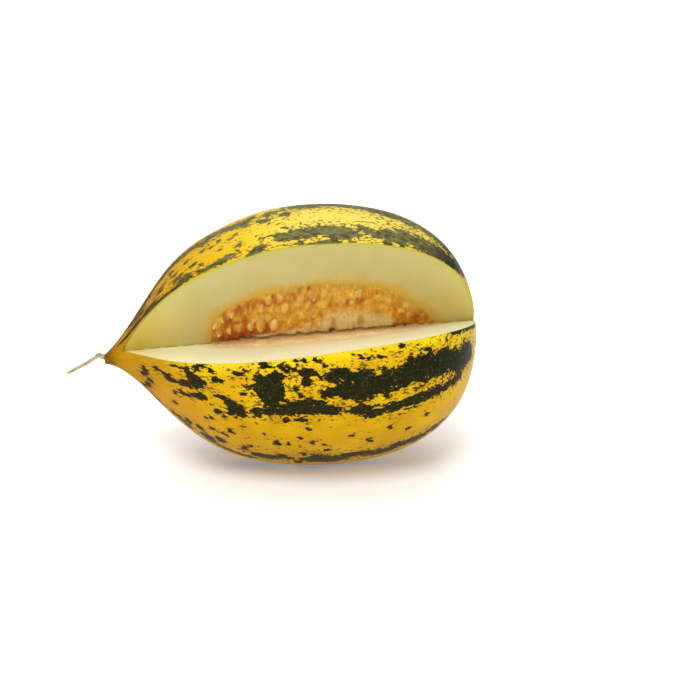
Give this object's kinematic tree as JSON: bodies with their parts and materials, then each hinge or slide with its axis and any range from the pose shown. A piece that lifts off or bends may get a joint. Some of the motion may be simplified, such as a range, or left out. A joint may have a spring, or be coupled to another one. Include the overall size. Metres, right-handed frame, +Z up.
{
  "type": "cut melon",
  "caption": "Ripe teardrop melon lying on its side with one wedge cut out, showing flesh and a seed-filled hollow, with its dry stem.",
  "frame": {"origin": "middle of the small flat spot on which the melon rests", "axes": "+X from the stem to the blossom end, -Y towards the cut side, +Z up"},
  "size_m": [0.2651, 0.1716, 0.1701],
  "materials": {
    "melon_rind": "satin waxy rind, yellow with dark green mottling",
    "melon_flesh": "moist pale green-cream flesh",
    "seed_pulp": "wet orange pulp",
    "seeds": "wet cream-orange seeds",
    "stem": "dry matt stalk"
  },
  "bodies": {
    "root": {"melon_body": "melon_rind", "seed_pulp": "seed_pulp", "stem": "stem"}
  },
  "joints": []
}
